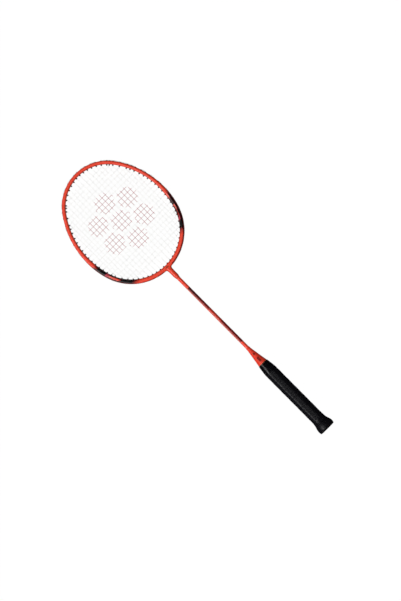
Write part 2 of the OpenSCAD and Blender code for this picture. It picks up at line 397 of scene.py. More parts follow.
def grainOver(tree, shader, colour, rub, scale, roughness, depth, extra=None):
    grain = useGroup(tree, fineGrain, Colour=colour, Rub=rub, Scale=scale, Roughness=roughness)
    layOn(tree, shader, grain, depth, extra)


hoop = dict(
    crownRadius=82.8 * mm, sideRadius=160.8 * mm, throatRadius=95.8 * mm,
    sideStart=math.atan2(4, 3), throatStart=math.atan2(24, -7),
    cadWidth=7.4 * mm,                 # the tube that the frame was drawn with
    crownWidth=7.2 * mm, shoulderWidth=9.0 * mm,
    taperStart=150 * mm, taperEnd=206 * mm,   # from the tip, along the tube
    squareness=2.6,
    grooveFloor=2.5 * mm, grooveHalf=1.8 * mm,
    jointHalf=10.5 * mm,
    ringStep=2.2 * mm,
)
hoopLow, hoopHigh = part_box("head_frame")
tubeHalf = hoop["cadWidth"] / 2
tubeTall = hoopHigh.z
tipX = hoopHigh.x - tubeHalf
crownCentre = Vector((tipX - hoop["crownRadius"], 0))
sideCentre = crownCentre - (hoop["sideRadius"] - hoop["crownRadius"]) * direction(hoop["sideStart"])
throatCentre = sideCentre + (hoop["sideRadius"] - hoop["throatRadius"]) * direction(hoop["throatStart"])
jointEdge = math.pi - math.asin(hoop["jointHalf"] / hoop["throatRadius"])
baseX = throatCentre.x - hoop["throatRadius"]


def arcAt(angle):
    if angle < hoop["sideStart"]:
        return crownCentre, hoop["crownRadius"]
    if angle < hoop["throatStart"]:
        return sideCentre, hoop["sideRadius"]
    return throatCentre, hoop["throatRadius"]


def hoopPoint(angle, out):
    centre, radius = arcAt(angle)
    return centre + (radius + out) * direction(angle)


def onHoop(point):
    # the hoop angle, the way along the tube from the tip, and the distance out from its middle line
    flat = Vector((point[0], abs(point[1])))
    angle = math.atan2(*reversed(flat - crownCentre))
    if angle < hoop["sideStart"]:
        return angle, hoop["crownRadius"] * angle, (flat - crownCentre).length - hoop["crownRadius"]
    along = hoop["crownRadius"] * hoop["sideStart"]
    angle = math.atan2(*reversed(flat - sideCentre))
    if angle < hoop["throatStart"]:
        return (angle, along + hoop["sideRadius"] * (angle - hoop["sideStart"]),
                (flat - sideCentre).length - hoop["sideRadius"])
    along += hoop["sideRadius"] * (hoop["throatStart"] - hoop["sideStart"])
    angle = math.atan2(*reversed(flat - throatCentre))
    return (angle, along + hoop["throatRadius"] * (angle - hoop["throatStart"]),
            (flat - throatCentre).length - hoop["throatRadius"])


def tubeWidth(along):
    share = ease(along, hoop["taperStart"], hoop["taperEnd"])
    return hoop["crownWidth"] + (hoop["shoulderWidth"] - hoop["crownWidth"]) * share


def hoopSection():
    # half of the section from the middle of the groove over the top to the inner face, then its mirror
    power, floor, lip = hoop["squareness"], hoop["grooveFloor"], hoop["grooveHalf"]
    half = [(floor, 0.0), (floor, 0.45 * lip), (floor, 0.75 * lip), (floor + 0.12 * mm, 0.88 * lip),
            (floor + 0.5 * mm, 0.94 * lip), (floor + 0.85 * mm, 0.99 * lip), (floor + 1.05 * mm, 1.13 * lip)]
    count = 18
    for step in range(count):
        turn = math.radians(23 + (180 - 23) * step / (count - 1))
        out = math.copysign(abs(math.cos(turn)) ** (2 / power), math.cos(turn))
        half.append((tubeHalf * out, tubeTall * abs(math.sin(turn)) ** (2 / power)))
    return half + [(out, -z) for out, z in reversed(half[1:-1])]


def tubeRing(name, angle, side=1):
    ends = [hoopPoint(angle, out) for out, _ in hoopSection()]
    return ringOf(name, [(p.x, side * p.y, z) for p, (_, z) in zip(ends, hoopSection())])


def spinArc(centre, fromAngle, toAngle, radius):
    turn = fromAngle - toAngle
    steps = max(2, round(abs(turn) * radius / hoop["ringStep"]))
    bpy.ops.mesh.spin(steps=steps, angle=turn, center=(centre.x, centre.y, 0), axis=(0, 0, 1))


def fitTube(piece):
    # widens the tube towards the shoulders, and marks each corner with its way along and out
    along, out = [], []
    for vertex in piece.data.vertices:
        _, far, away = onHoop(vertex.co)
        floor = abs(vertex.co.z) < hoop["grooveHalf"] and away > hoop["grooveFloor"] - 0.1 * mm
        share = tubeWidth(far) / hoop["cadWidth"]
        if not floor:
            middle = vertex.co.xy - away * outward(vertex.co)
            vertex.co.xy = middle + away * share * outward(vertex.co)
        along.append(far)
        out.append(away / tubeHalf)
    for name, values in (("along", along), ("out", out)):
        piece.data.attributes.new(name, "FLOAT", "POINT").data.foreach_set("value", values)


def outward(point):
    angle, _, _ = onHoop(point)
    return Vector((math.cos(angle), math.copysign(math.sin(angle), point[1])))


def makeHoop():
    piece = tubeRing("hoop", jointEdge)
    mirrored = Vector((sideCentre.x, -sideCentre.y))
    edit(piece)
    spinArc(throatCentre, jointEdge, hoop["throatStart"], hoop["throatRadius"])
    spinArc(sideCentre, hoop["throatStart"], hoop["sideStart"], hoop["sideRadius"])
    spinArc(crownCentre, hoop["sideStart"], -hoop["sideStart"], hoop["crownRadius"])
    spinArc(mirrored, -hoop["sideStart"], -hoop["throatStart"], hoop["sideRadius"])
    spinArc(throatCentre, -hoop["throatStart"], -jointEdge, hoop["throatRadius"])
    leaveEdit()
    closeUp(piece, fill=True)
    fitTube(piece)
    smooth(piece, 50)
    return piece


# Where the dark transfer lies on the tube, by X in millimetres. A lane is the inner, middle or outer part.
# The head is the same when it is turned over about its long axis, so two lists do for four quarters.
transfer = dict(
    start=440, end=535,
    lowEnd=453, highStart=461,     # the outer lane changes its width between these
    first=dict(
        lowFrom=0.28, outerFrom=0.28,
        inner=[(444, "orange"), (451, "maroon"), (454, "black"), (494, "black"), (495.5, "crimson"),
               (497.5, "crimson"), (499, "black"), (519, "black"), (524, "deep"), (528, "orange")],
        middle=[(444, "orange"), (449, "deep"), (453, "black"), (470, "black"), (472, "deep"),
                (474, "orange"), (491, "salmon"), (494, "crimson"), (497.5, "crimson"), (499.5, "black"),
                (516, "black"), (521, "deep"), (526, "orange")],
        outer=[(444, "orange"), (451, "maroon"), (455, "black"), (494, "black"), (496, "crimson"),
               (498, "black"), (516, "black"), (522, "maroon"), (527, "orange")]),
    second=dict(
        lowFrom=0.4, outerFrom=-0.06,
        inner=[(450, "orange"), (458, "deep"), (460, "black"), (471, "black"), (473, "crimson"),
               (476, "crimson"), (478, "black"), (497, "black"), (500, "salmon"), (502, "black"),
               (512, "black"), (519, "salmon"), (526, "orange")],
        middle=[(450, "orange"), (457, "deep"), (461, "black"), (471, "black"), (473.5, "crimson"),
                (477, "crimson"), (480, "deep"), (490, "deep"), (494, "salmon"), (500, "salmon"),
                (502, "maroon"), (513, "maroon"), (520, "salmon"), (526, "orange")],
        outer=[(443, "deep"), (450, "maroon"), (458, "black"), (513, "black"), (522, "maroon"),
               (532, "orange")]),
    flecks=[(455, 468), (500, 514)],
)


def laneColour(tree, x, lane):
    width = (transfer["end"] - transfer["start"]) * mm
    place = calc(tree, "DIVIDE", minus(tree, x, transfer["start"] * mm), width)
    stops = [((at - transfer["start"]) * mm / width, colours[name]) for at, name in lane]
    return ramp(tree, place, stops)


def hoopPaint():
    material, tree, shader = newMaterial("hoopPaint", Coat_Weight=0.35, Coat_Roughness=0.12)
    place, x, y, z = objectPlace(tree)
    wander = span(tree, noise(tree, place, 700, 2), 0.3, 0.7, -0.9 * mm, 0.9 * mm, "LINEAR")
    shifted = plus(tree, x, wander)
    waver = span(tree, noise(tree, place, 420, 1), 0.3, 0.7, -0.12, 0.12, "LINEAR")
    out = plus(tree, held(tree, "out"), waver)
    quarter = []
    for lanes in (transfer["first"], transfer["second"]):
        names = ("inner", "middle", "outer")
        inner, middle, outer = (laneColour(tree, shifted, lanes[name]) for name in names)
        colour = blend(tree, span(tree, out, -0.5, -0.36), inner, middle)
        edge = span(tree, shifted, transfer["lowEnd"] * mm, transfer["highStart"] * mm,
                    lanes["lowFrom"], lanes["outerFrom"])
        beyond = minus(tree, out, edge)
        quarter.append(blend(tree, span(tree, beyond, 0.0, 0.14), colour, outer))
    turned = calc(tree, "LESS_THAN", times(tree, y, z), 0.0)
    colour = blend(tree, turned, quarter[0], quarter[1])
    # short pale bars in the black, no two rows alike
    bars = cells(tree, place, 820)
    streak = times(tree, span(tree, bars, 0.22, 0.12), span(tree, noise(tree, place, 260, 1), 0.45, 0.6))
    where = None
    for low, high in transfer["flecks"]:
        where = larger(tree, where, between(tree, x, (low - 1) * mm, (high + 1) * mm, 1 * mm))
    onTop = span(tree, absolute(tree, z), 3.4 * mm, 4.2 * mm)
    streak = times(tree, times(tree, streak, where), onTop)
    colour = blend(tree, times(tree, streak, 0.8), colour, colours["fleck"])
    # painted shade: the floor of the groove is painted dark maroon
    grooveShade = times(tree, span(tree, absolute(tree, z), 2.1 * mm, 1.6 * mm),
                     span(tree, held(tree, "out"), 0.6, 0.66))
    colour = blend(tree, times(tree, grooveShade, 0.65), colour, colours["maroon"])
    # painted shade: both rims are painted darker next to each string hole, darkest towards the throat; mark
    # is the colour of that painted shade
    rim = span(tree, absolute(tree, held(tree, "out")), 0.5, 0.85)
    grommetShade = times(tree, held(tree, "hole"), rim)
    lower = span(tree, x, 556 * mm, 536 * mm)
    mark = blend(tree, lower, rgb(150, 26, 14), rgb(84, 3, 3))
    colour = blend(tree, times(tree, grommetShade, 0.85), colour, mark)
    # painted shade: towards the throat the outer rim is painted darker red
    shaded = times(tree, span(tree, held(tree, "out"), 0.5, 0.85), lower)
    colour = blend(tree, times(tree, shaded, 0.5), colour, rgb(150, 14, 10))
    paintOver(tree, shader, colour, 0.3, 0.5)
    return material


hoopPiece = makeHoop()
finishPiece(hoopPiece, hoopPaint(), "hoop_paint", "head_frame")
print("hoop made")


sleeve = dict(
    tipRadius=3.95 * mm, radius=4.75 * mm, rimLength=5.6 * mm,
    # widening towards the hoop: distance before the hoop's middle line, half width, half height
    trumpet=[(13, 4.78, 4.72), (9, 4.9, 4.75), (6.6, 5.3, 4.8), (5.3, 5.95, 4.88), (4.4, 6.9, 4.95),
             (3.6, 7.9, 5.0), (2.4, 8.6, 5.0), (1, 8.8, 4.6)],
    sides=56,
)
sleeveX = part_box("t_joint")[0].x


def makeSleeve():
    sides = sleeve["sides"]
    stations = [(sleeveX, 0.9 * sleeve["tipRadius"], 0.9 * sleeve["tipRadius"]),
                (sleeveX + 0.25 * mm, 0.98 * sleeve["tipRadius"], 0.98 * sleeve["tipRadius"]),
                (sleeveX + 0.6 * mm, sleeve["tipRadius"], sleeve["tipRadius"]),
                (sleeveX + sleeve["rimLength"], sleeve["radius"], sleeve["radius"]),
                (sleeveX + sleeve["rimLength"] + 1 * mm, sleeve["radius"], sleeve["radius"])]
    stations += [(baseX - back * mm, wide * mm, tall * mm) for back, wide, tall in sleeve["trumpet"]]
    x, wide, tall = stations[0]
    turns = [2 * math.pi * k / sides for k in range(sides)]
    piece = ringOf("sleeve", [(x, wide * math.cos(t), tall * math.sin(t)) for t in turns])
    edit(piece)
    for (x0, wide0, tall0), (x1, wide1, tall1) in zip(stations, stations[1:]):
        bpy.ops.mesh.extrude_region_move(TRANSFORM_OT_translate={"value": (x1 - x0, 0, 0)})
        bpy.ops.transform.resize(value=(1, wide1 / wide0, tall1 / tall0), center_override=(x1, 0, 0))
    leaveEdit()
    closeUp(piece, fill=True)
    return piece


def makeJoint():
    start = jointEdge + 0.0005            # a hair short of the hoop's ends
    arc = tubeRing("jointArc", start)
    edit(arc)
    spinArc(throatCentre, start, 2 * math.pi - start, hoop["throatRadius"])
    leaveEdit()
    closeUp(arc, fill=True)
    fitTube(arc)
    sleevePiece = makeSleeve()
    applyModifier(arc, "BOOLEAN", operation="UNION", object=sleevePiece, solver="EXACT")
    bpy.data.objects.remove(sleevePiece)
    arc.name = "throatJoint"
    smooth(arc, 38)
    return arc


def jointPaint():
    material, tree, shader = newMaterial("jointPaint", Coat_Weight=0.35, Coat_Roughness=0.12)
    place, x, y, z = objectPlace(tree)
    # painted shade of a small dent in the middle of the joint, which has no shape of its own
    dx = calc(tree, "DIVIDE", minus(tree, x, baseX - 0.6 * mm), 1.6 * mm)
    dy = calc(tree, "DIVIDE", y, 3.5 * mm)
    far = calc(tree, "SQRT", plus(tree, times(tree, dx, dx), times(tree, dy, dy)))
    dent = span(tree, far, 1.15, 0.75)
    shade = blend(tree, times(tree, dent, 0.9), colours["orange"], rgb(146, 48, 6))
    rim = times(tree, span(tree, x, sleeveX + 1.2 * mm, sleeveX + 0.2 * mm), 0.6)
    colour = blend(tree, rim, shade, colours["deep"])
    # painted shade: the joint's steep sides, near its middle plane, are painted dark red
    low = times(tree, span(tree, absolute(tree, z), 3.8 * mm, 2.2 * mm), 0.6)
    colour = blend(tree, low, colour, rgb(124, 6, 6))
    paintOver(tree, shader, colour, 0.3, 0.35)
    return material


jointPiece = makeJoint()
finishPiece(jointPiece, jointPaint(), "joint_paint", "t_joint")
print("T joint made")


shaft = dict(
    bore=2.5 * mm,
    darkStart=227, darkEnd=372,          # the dark transfer along the shaft, by X in millimetres
    gapStart=282, gapEnd=316,            # a lighter stretch with small bars
    sides=64,
)
shaftLow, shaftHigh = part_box("shaft")


def makeShaft():
    radius = shaftHigh.y
    x0, x1, bore, edge = shaftLow.x, shaftHigh.x, shaft["bore"], 0.3 * mm
    stations = 24
    outside = [(x0 + edge + (x1 - x0 - 2 * edge) * k / stations, radius) for k in range(stations + 1)]
    profile = [(x0, bore), (x0, radius - edge)] + outside + [(x1, radius - edge), (x1, bore)]
    piece = lathe("shaftTube", profile, shaft["sides"])
    smooth(piece)
    return piece


def shaftPaint():
    material, tree, shader = newMaterial("shaftPaint", Coat_Weight=0.4, Coat_Roughness=0.1)
    place, x, y, z = objectPlace(tree)
    wander = span(tree, noise(tree, place, 500, 1), 0.3, 0.7, -0.8 * mm, 0.8 * mm, "LINEAR")
    at = plus(tree, x, wander)
    covered = between(tree, at, shaft["darkStart"] * mm, shaft["darkEnd"] * mm, 2.5 * mm)
    # the same on both faces: the dark band leaves the lit edge on the +Y side of the top orange, as a painted
    # highlight
    across = times(tree, y, calc(tree, "SIGN", z))
    band = span(tree, across, 2.5 * mm, 1.3 * mm)
    inGap = between(tree, x, shaft["gapStart"] * mm, shaft["gapEnd"] * mm, 2 * mm)
    bars = times(tree, span(tree, cells(tree, place, 420), 0.34, 0.22),
                 span(tree, absolute(tree, plus(tree, across, 0.2 * mm)), 1.6 * mm, 1.2 * mm))
    thin = times(tree, inGap, minus(tree, 1.0, bars))
    cover = times(tree, times(tree, covered, band), minus(tree, 1.0, times(tree, thin, 0.5)))
    # painted highlight: that lit +Y edge is painted paler salmon
    side = times(tree, covered, span(tree, across, 0.9 * mm, 2.2 * mm))
    colour = blend(tree, times(tree, side, 0.5), colours["orange"], rgb(222, 132, 116))
    dark = blend(tree, span(tree, x, 325 * mm, 355 * mm), rgb(128, 16, 10), rgb(88, 10, 8))
    # painted shade: the -Y edge of the dark band is painted darker still
    shadow = times(tree, span(tree, across, -0.8 * mm, -2.4 * mm), 0.4)
    dark = blend(tree, shadow, dark, rgb(92, 4, 4))
    colour = blend(tree, cover, colour, dark)
    paintOver(tree, shader, colour, 0.26, 0.3)
    return material


shaftPiece = makeShaft()
finishPiece(shaftPiece, shaftPaint(), "shaft_paint", "shaft")
print("shaft made")


cone = dict(
    baseRadius=9.75 * mm, tipRadius=3.9 * mm, lip=1.8 * mm, bore=3.55 * mm, step=0.28 * mm,
    socketRadius=6.6 * mm, socketDepth=12.2 * mm, slopeSteps=14, sides=72,
    marks=[(4.5, 15.5, 2.5), (21, 26, 2.0)],     # where each dark mark starts and ends, and its half width
)
coneLow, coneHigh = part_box("cone_cap")


def makeCone():
    x0, x1 = coneLow.x, coneHigh.x
    lip, base, tip, steps = x1 - cone["lip"], cone["baseRadius"], cone["tipRadius"], cone["slopeSteps"]
    belt = base - cone["step"]
    # the collar at the grip, the slope, and the lip at the shaft
    profile = [(x0, cone["socketRadius"]), (x0, base - 0.35 * mm), (x0 + 0.3 * mm, base - 0.05 * mm),
               (x0 + 0.9 * mm, base), (x0 + 1.7 * mm, base), (x0 + 1.95 * mm, base - 0.2 * mm),
               (x0 + 2.2 * mm, belt)]
    profile += [(x0 + 2.6 * mm + (lip - x0 - 3.6 * mm) * k / steps, belt + (tip - belt) * (k / steps) ** 0.94)
                for k in range(steps + 1)]
    profile += [(lip - 0.5 * mm, tip + 0.02 * mm), (lip - 0.2 * mm, tip + 0.25 * mm),
                (lip + 0.3 * mm, tip + 0.32 * mm), (x1 - 0.5 * mm, tip + 0.2 * mm),
                (x1 - 0.1 * mm, tip - 0.05 * mm), (x1, cone["bore"] + 0.1 * mm), (x1, cone["bore"]),
                (x0 + cone["socketDepth"], cone["bore"]), (x0 + cone["socketDepth"], cone["socketRadius"])]
    piece = lathe("gripCone", profile, cone["sides"])
    smooth(piece, 35)
    return piece


def conePlastic():
    material, tree, shader = newMaterial("conePlastic", Coat_Weight=0.3, Coat_Roughness=0.18)
    place, x, y, z = objectPlace(tree)
    across = times(tree, y, calc(tree, "SIGN", z))
    aside = absolute(tree, plus(tree, across, 0.8 * mm))
    marks = None
    for near, far, wide in cone["marks"]:
        bar = between(tree, x, coneLow.x + near * mm, coneLow.x + far * mm, 0.5 * mm)
        marks = larger(tree, marks, times(tree, bar, span(tree, aside, wide * mm, (wide - 0.4) * mm)))
    colour = blend(tree, times(tree, marks, 0.9), rgb(224, 56, 32), rgb(120, 14, 4))
    paintOver(tree, shader, colour, 0.3, 0.3, 0.015 * mm)
    return material


conePiece = makeCone()
finishPiece(conePiece, conePlastic(), "cone_plastic", "cone_cap")
print("cone made")


grip = dict(
    wide=13.25 * mm, tall=12.25 * mm, slant=12.75 * mm, corner=13.55 * mm, cornerPower=34,
    neckX=146 * mm, neckRadius=10.15 * mm,
    flareX=27 * mm, flareTopX=4 * mm, flareRadius=17.15 * mm, flareBase=12.9 * mm,
    pitch=22 * mm, overlap=0.28 * mm, thickness=1.25 * mm, endLength=1.1 * mm, endDrop=0.55 * mm,
    tapeThickness=0.35 * mm, tapeWinds=2.4,
    holeRows=3, holeColumns=11,          # punched holes across one turn of the wrap and round the handle
    lengthSteps=236, sides=128,
)
wrapLow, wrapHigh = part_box("grip_wrap")
tapeLow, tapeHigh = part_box("grip_tape")
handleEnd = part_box("handle_core")[1].x - 12 * mm


def flareRadius(x):
    low, high = grip["flareBase"], grip["flareRadius"]
    run = grip["flareX"] - grip["flareTopX"]
    bend = (run ** 2 + (high - low) ** 2) / (4 * (high - low))
    if x < grip["flareTopX"]:
        return high
    if x < (grip["flareX"] + grip["flareTopX"]) / 2:
        return high - bend + math.sqrt(bend ** 2 - (x - grip["flareTopX"]) ** 2)
    if x < grip["flareX"]:
        return low + bend - math.sqrt(bend ** 2 - (grip["flareX"] - x) ** 2)
    return 0.0


def gripRadius(x, angle):
    # an eight-sided bar with rounded corners, drawn in at the neck and opened out at the flare
    across, up = abs(math.cos(angle)), abs(math.sin(angle))
    slant = (across + up) / math.sqrt(2)
    power = grip["cornerPower"]
    limits = [(grip["wide"], across), (grip["tall"], up), (grip["slant"], slant), (grip["corner"], 1.0)]
    if x > grip["neckX"]:
        share = (x - grip["neckX"]) / (handleEnd - grip["neckX"])
        limits.append((grip["corner"] + (grip["neckRadius"] - grip["corner"]) * share ** 1.1, 1.0))
    bar = sum((part / size) ** power for size, part in limits) ** (-1 / power)
    flare = flareRadius(x)
    if flare:
        bar = min((bar ** 24 + flare ** 24) ** (1 / 24), max(grip["flareRadius"], bar))
    return bar


def wrapLift(x, angle):
    # each turn of the wrap lies on the edge of the one before it
    turn = (x / grip["pitch"] + angle / (2 * math.pi)) % 1
    return -grip["overlap"] * ease(turn, 0.0, 0.07) * (1 - turn) ** 1.4


def makeWrap():
    x0, x1, end = wrapLow.x, wrapHigh.x, grip["endLength"]

    def place(u, angle):
        x = x0 + (x1 - x0) * u
        radius = gripRadius(x, angle) + wrapLift(x, angle)
        if x < x0 + end:
            radius -= grip["endDrop"] * (1 - (x - x0) / end) ** 2
        return (x, radius * math.cos(angle), radius * math.sin(angle))

    piece = rolled("gripWrap", grip["lengthSteps"], grip["sides"], place)
    applyModifier(piece, "SOLIDIFY", thickness=grip["thickness"], offset=-1)
    smooth(piece, 45)
    return piece


def gripMaterial():
    material, tree, shader = newMaterial("gripLeather", Specular_IOR_Level=0.5)
    place, x, y, z = objectPlace(tree)
    angle = calc(tree, "DIVIDE", calc(tree, "ARCTAN2", z, y), 2 * math.pi)
    turn = plus(tree, calc(tree, "DIVIDE", x, grip["pitch"]), angle)
    part = calc(tree, "FRACT", turn)
    # punched holes in staggered rows that follow the wrap round
    rows = calc(tree, "COSINE", times(tree, turn, 2 * math.pi * grip["holeRows"]))
    columns = calc(tree, "COSINE", times(tree, angle, 2 * math.pi * grip["holeColumns"]))
    weave = times(tree, rows, columns)
    hole = span(tree, weave, 0.72, 0.9)
    rim = times(tree, span(tree, weave, 0.45, 0.68), span(tree, weave, 0.85, 0.72))
    seam = span(tree, part, 0.045, 0.0)
    crease = times(tree, span(tree, part, 0.2, 0.06), noise(tree, place, 300, 3))
    height = minus(tree, times(tree, rim, 0.8), times(tree, hole, 3.0))
    height = minus(tree, height, times(tree, seam, 2.0))
    height = plus(tree, height, times(tree, crease, 0.8))
    worn = times(tree, rim, span(tree, noise(tree, place, 90, 3), 0.35, 0.65, 0.3, 1.0))
    base = blend(tree, times(tree, worn, 0.5), colours["grip"], rgb(40, 39, 46))
    # painted shade: the punched holes and the seam of the wrap are painted near black
    base = blend(tree, calc(tree, "MAXIMUM", hole, seam), base, rgb(4, 4, 5))
    grainOver(tree, shader, base, rgb(30, 29, 36), 1500.0, 0.33, 0.08 * mm, height)
    return material


def makeTape():
    x0, x1 = tapeLow.x, tapeHigh.x

    def place(u, angle):
        x = x0 + (x1 - x0) * u
        lift = grip["tapeThickness"] * (0.35 + 0.65 * ease(u, 0, 0.035))
        ripple = 0.05 * mm * math.sin(5 * angle + 40 * u) * math.sin(math.pi * u)
        wind = (u * grip["tapeWinds"] + angle / (2 * math.pi)) % 1
        radius = gripRadius(x, angle) + lift + min(0, ripple) - 0.12 * mm * (1 - wind) ** 2
        return (x, radius * math.cos(angle), radius * math.sin(angle))

    piece = rolled("finishTape", 60, grip["sides"], place)
    applyModifier(piece, "SOLIDIFY", thickness=0.3 * mm, offset=-1)
    smooth(piece, 45)
    return piece


def tapeMaterial():
    material, tree, shader = newMaterial("finishTape", Coat_Weight=0.5, Coat_Roughness=0.12)
    place, x, y, z = objectPlace(tree)
    angle = calc(tree, "DIVIDE", calc(tree, "ARCTAN2", z, y), 2 * math.pi)
    share = times(tree, minus(tree, x, tapeLow.x), grip["tapeWinds"] / (tapeHigh.x - tapeLow.x))
    wind = calc(tree, "FRACT", plus(tree, share, angle))
    edge = span(tree, wind, 0.04, 0.0)
    stretch = noise(tree, place, 240, 2)
    height = minus(tree, times(tree, stretch, 1.6), times(tree, edge, 1.5))
    base = blend(tree, edge, colours["tape"], rgb(40, 40, 46))
    grainOver(tree, shader, base, rgb(40, 40, 48), 900.0, 0.2, 0.04 * mm, height)
    return material


wrapPiece = makeWrap()
finishPiece(wrapPiece, gripMaterial(), "grip_wrap", "grip_wrap")
tapePiece = makeTape()
finishPiece(tapePiece, tapeMaterial(), "finish_tape", "grip_tape")
print("grip made")


butt = dict(edge=2.1 * mm, plug=6.9 * mm, plugBore=5 * mm, rings=(4.0 * mm, 7.4 * mm, 10.2 * mm), sides=96)
capLow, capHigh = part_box("butt_cap")
badgeLow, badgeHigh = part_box("butt_badge")


def makeCap():
    radius, thick = capHigh.y, 2.4 * mm
    badge, recess, edge = badgeHigh.y + 0.05 * mm, badgeHigh.x, butt["edge"]
    corner = [Vector((edge, radius - edge)) + edge * direction(math.radians(180 - 15 * k)) for k in range(7)]
    profile = [(recess, 0), (recess, badge), (0.1 * mm, badge), (0, badge + 0.1 * mm)]
    profile += [tuple(point) for point in corner]
    profile += [(thick - 0.15 * mm, radius), (thick, radius - 0.15 * mm), (thick, butt["plug"]),
                (capHigh.x - 0.5 * mm, butt["plug"]), (capHigh.x, butt["plug"] - 0.5 * mm),
                (capHigh.x, butt["plugBore"]), (thick, butt["plugBore"]), (thick, 0)]
    piece = lathe("buttCap", profile, butt["sides"])
    smooth(piece, 35)
    return piece


def makeBadge():
    top, radius, back = badgeLow.x, badgeHigh.y, badgeHigh.x
    profile = [(top + 0.06 * mm, 0)]
    for ring in butt["rings"]:
        profile += [(top + 0.06 * mm, ring - 0.5 * mm), (top, ring - 0.35 * mm), (top, ring + 0.35 * mm),
                    (top + 0.06 * mm, ring + 0.5 * mm)]
    profile += [(top + 0.06 * mm, radius - 0.1 * mm), (top + 0.16 * mm, radius), (back, radius), (back, 0)]
    piece = lathe("buttBadge", profile, butt["sides"])
    smooth(piece, 30)
    return piece


def capPlastic():
    material, tree, shader = newMaterial("buttPlastic")
    grainOver(tree, shader, colours["grip"], rgb(50, 49, 55), 2400.0, 0.42, 0.03 * mm)
    return material


def badgeMaterial():
    material, tree, shader = newMaterial("badgeFoil", Coat_Weight=0.5)
    place, x, y, z = objectPlace(tree)
    far = calc(tree, "SQRT", plus(tree, times(tree, y, y), times(tree, z, z)))
    turned = calc(tree, "SINE", times(tree, far, 24000.0))
    ring = None
    for radius in butt["rings"]:
        here = span(tree, absolute(tree, minus(tree, far, radius)), 0.5 * mm, 0.4 * mm)
        ring = larger(tree, ring, here)
    colour = blend(tree, ring, rgb(10, 10, 12), rgb(34, 33, 38))
    paintOver(tree, shader, colour, 0.32, 0.3, 0.01 * mm, times(tree, turned, 0.3))
    return material


capPiece = makeCap()
finishPiece(capPiece, capPlastic(), "butt_cap", "butt_cap")
badgePiece = makeBadge()
finishPiece(badgePiece, badgeMaterial(), "badge", "butt_badge")
print("butt made")


strings = dict(
    diameter=0.7 * mm, mains=11, crosses=23,
    mainPitch=8.4 * mm, crossPitch=8.84 * mm, crownPitch=7.9 * mm, firstCross=50.5 * mm,
    lift=0.4 * mm, weave=0.36 * mm, exitY=8.6 * mm,
    mouth=5.9 * mm, headTop=3.9 * mm, runOut=4.26 * mm,
)
racketLength = hoopHigh.x


def mainY(i):
    spread = 0.16 * (i - 4.5) ** 2 * mm if i > 4 else 0
    return strings["mainPitch"] * (i - 0.5) - spread


def crossX(j):
    step = strings["crownPitch"] * (4 - j) if j < 4 else -strings["crossPitch"] * (j - 4)
    return racketLength - strings["firstCross"] + step


def topHole(i):
    reach = mainY(i) / (hoop["crownRadius"] - strings["mouth"])
    if reach < math.sin(hoop["sideStart"]):
        return math.asin(reach)
    return math.asin((mainY(i) - sideCentre.y) / (hoop["sideRadius"] - strings["mouth"]))


def lowHole(i):
    return math.pi - math.asin(mainY(i) / (hoop["throatRadius"] - strings["mouth"]))


def holeAtX(x):
    for centre, radius, end in ((crownCentre, hoop["crownRadius"], hoop["sideStart"]),
                                (sideCentre, hoop["sideRadius"], hoop["throatStart"])):
        across = (x - centre.x) / (radius - strings["mouth"])
        if across > -1 and math.acos(across) < end:
            return math.acos(across)
    return math.acos((x - throatCentre.x) / (hoop["throatRadius"] - strings["mouth"]))


def crossHole(j):
    # the crosses without a hole of their own share one with a main string
    if j == 1:
        return topHole(6)
    if j == 7:
        return topHole(11)
    if 2 < j < 6:
        return topHole(j + 5)
    if j > 19:
        return lowHole(31 - j)
    return holeAtX(crossX(j))


def ownHole(j):
    return j in (2, 6) or 7 < j < 20


mainRange = range(1, strings["mains"] + 1)
crossRange = range(1, strings["crosses"] + 1)
holes = ([topHole(i) for i in mainRange] + [crossHole(j) for j in crossRange if ownHole(j)]
         + [lowHole(i) for i in mainRange if i > 1])


def markHoles(piece):
    # how close each corner of the tube is to a string hole, along the tube
    places = sorted(onHoop((*hoopPoint(angle, 0), 0))[1] for angle in holes)
    near = []
    for vertex in piece.data.vertices:
        along = onHoop(vertex.co)[1]
        gap = min(abs(along - place) for place in places)
        near.append(1 - ease(gap, 0.6 * mm, 2.6 * mm))
    piece.data.attributes.new("hole", "FLOAT", "POINT").data.foreach_set("value", near)


markHoles(hoopPiece)


def inside(angle):
    return hoopPoint(angle, -strings["mouth"])


def meets(i, j):
    return mainY(i) < inside(crossHole(j)).y - 1.5 * mm and inside(lowHole(i)).x < crossX(j) - 2 * mm


def at(point, side, z):
    return Vector((point[0], side * point[1], z))


def wayOut(angle, toward, side, z):
    turn = math.copysign(math.radians(0.45), toward - angle)
    return [at(hoopPoint(angle, -strings["mouth"] - 0.3 * mm), side, z),
            at(hoopPoint(angle, strings["headTop"] - 0.35 * mm), side, z),
            at(hoopPoint(angle + turn, strings["runOut"]), side, z)]


def wayIn(angle, start, side, z):
    return wayOut(angle, start, side, z)[::-1]


def groove(a, b, side, z):
    return [at(hoopPoint(a + (b - a) * k / 3, strings["runOut"]), side, z) for k in (1, 2)]


lowMouth = inside(lowHole(1))
lowExit = Vector((throatCentre.x - math.sqrt((hoop["throatRadius"] + strings["headTop"]) ** 2
                                             - strings["exitY"] ** 2), strings["exitY"]))
lowRun = lowExit - lowMouth


def slantOut(side):
    lift = strings["lift"]
    return [at(lowMouth, side, lift), at(lowMouth + lowRun * 0.97, side, lift),
            at(lowExit + Vector((-0.36 * mm, 0.5 * mm)), side, lift)]


def overUnder(n):
    return 1 if n % 2 == 0 else -1


def mainRun(i, side):
    odd = 1 if side < 0 else 0
    return [Vector((crossX(j), side * mainY(i), strings["weave"] * overUnder(i + j + odd)))
            for j in crossRange if meets(i, j)]


